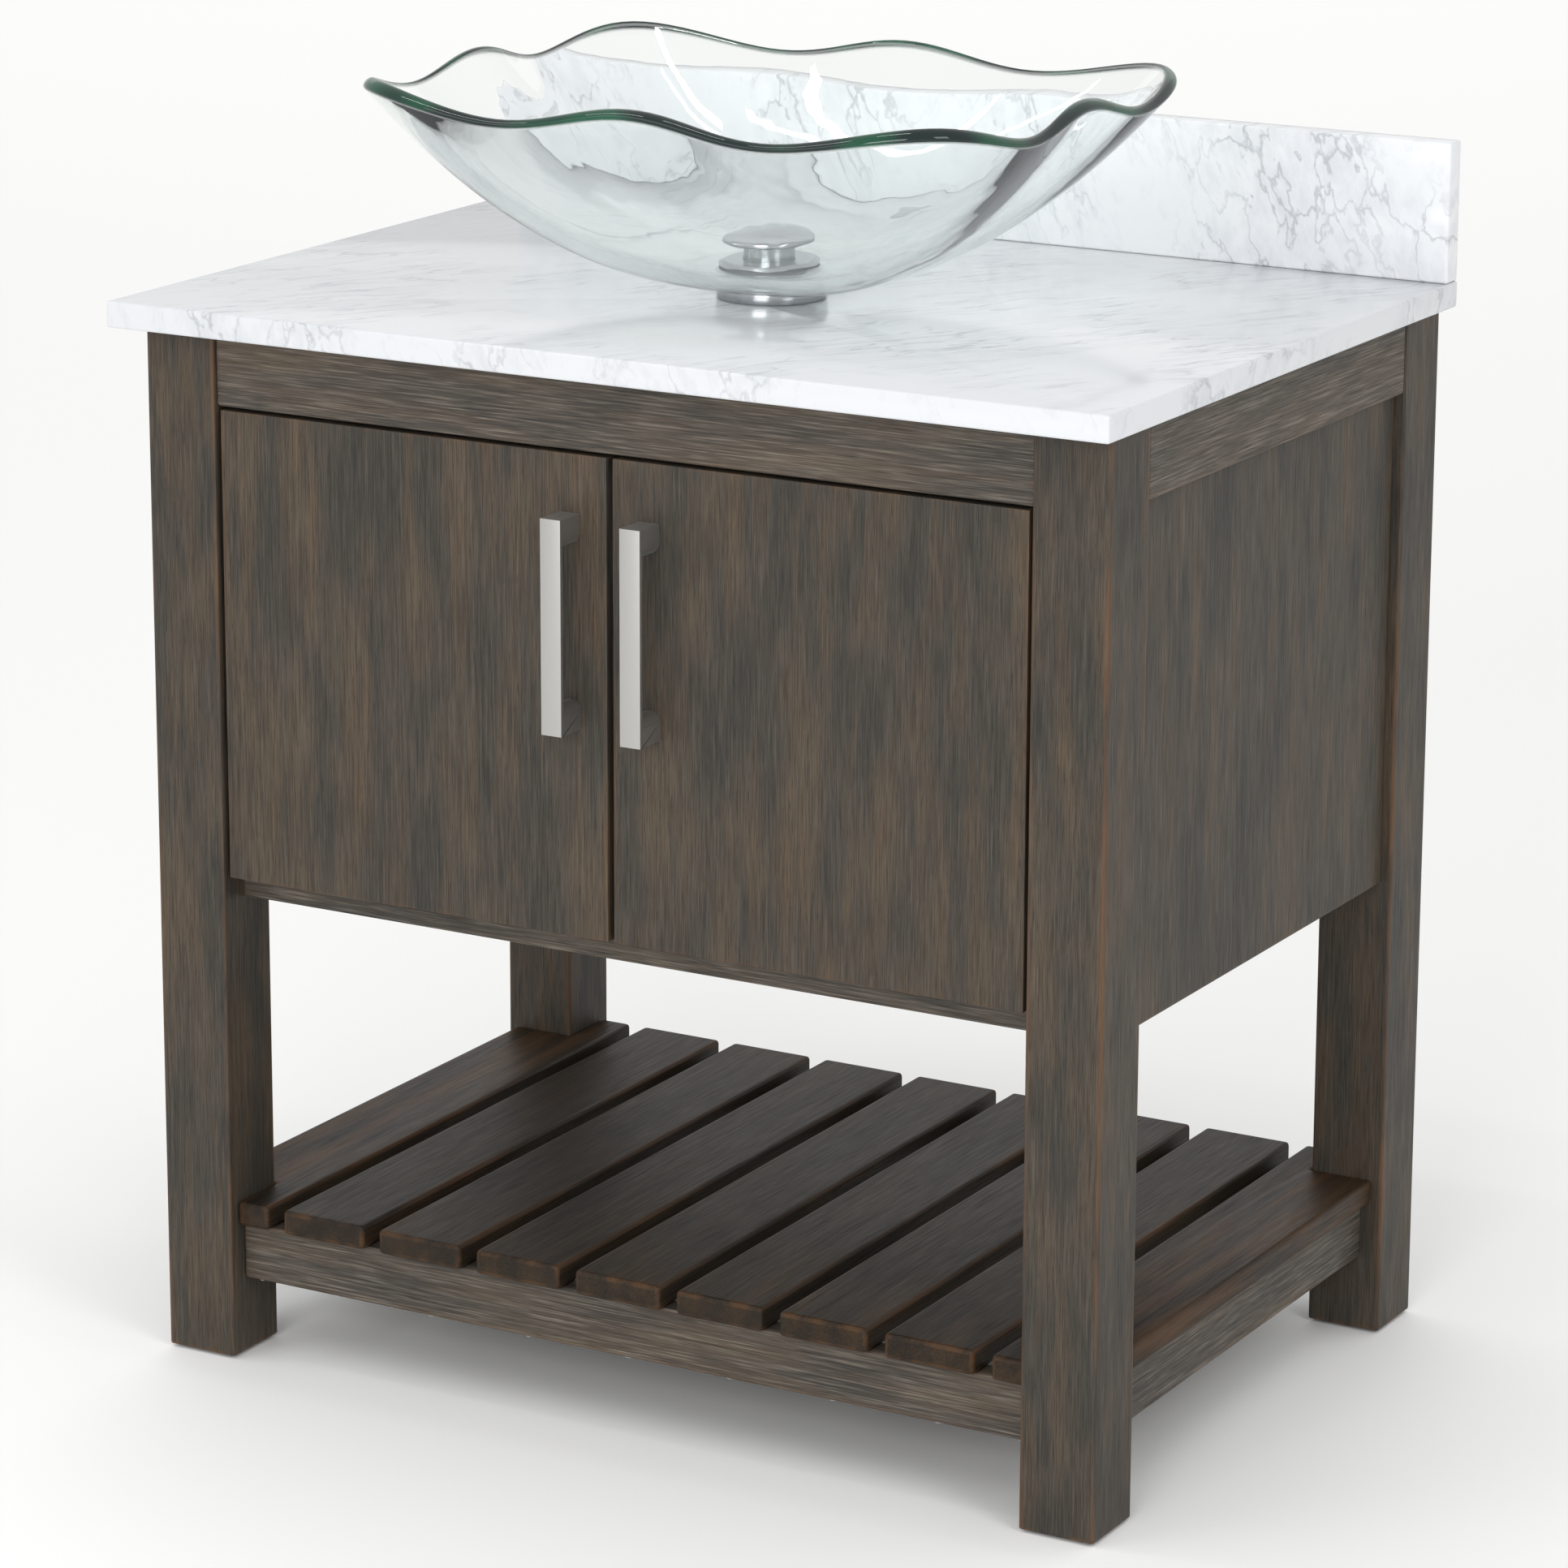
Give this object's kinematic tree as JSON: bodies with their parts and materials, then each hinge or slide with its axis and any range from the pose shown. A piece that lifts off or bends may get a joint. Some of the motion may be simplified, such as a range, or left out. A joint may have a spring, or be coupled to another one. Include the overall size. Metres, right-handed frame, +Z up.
{
  "type": "vessel sink vanity",
  "caption": "Free-standing wood vanity with a marble top and backsplash, wavy glass vessel bowl, push-down drain, paired hinged doors and open slatted shelf.",
  "frame": {"origin": "on the ground, at the middle of the marble top's width and depth", "axes": "+X to the user's right, +Y from the doors towards the wall, +Z up"},
  "size_m": [0.787, 0.559, 0.9475],
  "materials": {
    "stained_wood": "grey-brown stained oak, wire-brushed, satin lacquer, rubbed edges",
    "inner_board": "brown stained board, unpolished",
    "marble": "white marble with soft grey veins, polished",
    "bowl_glass": "thick tempered glass, clear with a green edge, polished",
    "satin_nickel": "satin nickel plated zinc casting",
    "nickel_plated_steel": "nickel plated pressed steel",
    "zinc_steel": "bright zinc plated steel",
    "chrome_brass": "chromium plated brass, polished",
    "raw_brass": "turned brass",
    "black_rubber": "moulded rubber",
    "clear_rubber": "moulded translucent polyurethane",
    "nylon": "moulded nylon"
  },
  "bodies": {
    "cabinet": {"countertop": "marble", "backsplash": "marble", "leg_front_left": "stained_wood", "leg_front_right": "stained_wood", "leg_back_left": "stained_wood", "leg_back_right": "stained_wood", "leg_glides": "nylon", "front_top_rail": "stained_wood", "back_top_rail": "stained_wood", "side_top_rail_left": "stained_wood", "side_top_rail_right": "stained_wood", "side_panel_left": "stained_wood", "side_panel_right": "stained_wood", "cabinet_floor": "inner_board", "back_panel": "inner_board", "door_stop": "inner_board", "front_shelf_rail": "stained_wood", "back_shelf_rail": "stained_wood", "side_shelf_rail_left": "stained_wood", "side_shelf_rail_right": "stained_wood", "shelf_slat_1": "stained_wood", "shelf_slat_2": "stained_wood", "shelf_slat_3": "stained_wood", "shelf_slat_4": "stained_wood", "shelf_slat_5": "stained_wood", "shelf_slat_6": "stained_wood", "shelf_slat_7": "stained_wood", "shelf_slat_8": "stained_wood", "shelf_slat_9": "stained_wood", "shelf_screws": "zinc_steel", "hinge_arms_left": "nickel_plated_steel", "hinge_arms_right": "nickel_plated_steel", "plate_screws_left": "zinc_steel", "plate_screws_right": "zinc_steel", "glass_bowl": "bowl_glass", "mounting_ring": "chrome_brass", "ring_gasket": "black_rubber", "flange_gasket": "black_rubber", "drain_body": "chrome_brass", "drain_spring": "zinc_steel", "counter_washer": "black_rubber", "drain_nut": "raw_brass", "tailpiece": "chrome_brass"},
    "left_door": {"door_left": "stained_wood", "handle_left": "satin_nickel", "handle_screws_left": "zinc_steel", "hinge_cups_left": "nickel_plated_steel", "cup_screws_left": "zinc_steel", "door_bumper_left": "clear_rubber"},
    "right_door": {"door_right": "stained_wood", "handle_right": "satin_nickel", "handle_screws_right": "zinc_steel", "hinge_cups_right": "nickel_plated_steel", "cup_screws_right": "zinc_steel", "door_bumper_right": "clear_rubber"},
    "drain_plug": {"drain_cap": "chrome_brass"}
  },
  "joints": [
    {"name": "door_left_hinge", "type": "hinge", "parent": "cabinet", "child": "left_door", "pos_m": [-0.3205, -0.2465, 0.53925], "axis": [0, 0, -1], "range_deg": [0, 105]},
    {"name": "door_right_hinge", "type": "hinge", "parent": "cabinet", "child": "right_door", "pos_m": [0.3205, -0.2465, 0.53925], "axis": [0, 0, 1], "range_deg": [0, 105]},
    {"name": "drain_cap_press", "type": "slide", "parent": "cabinet", "child": "drain_plug", "axis": [0, 0, -1], "range_m": [0, 0.0135], "stiffness_N_per_m": 300, "springref_m": -0.02, "deforming": ["drain_spring"]}
  ]
}
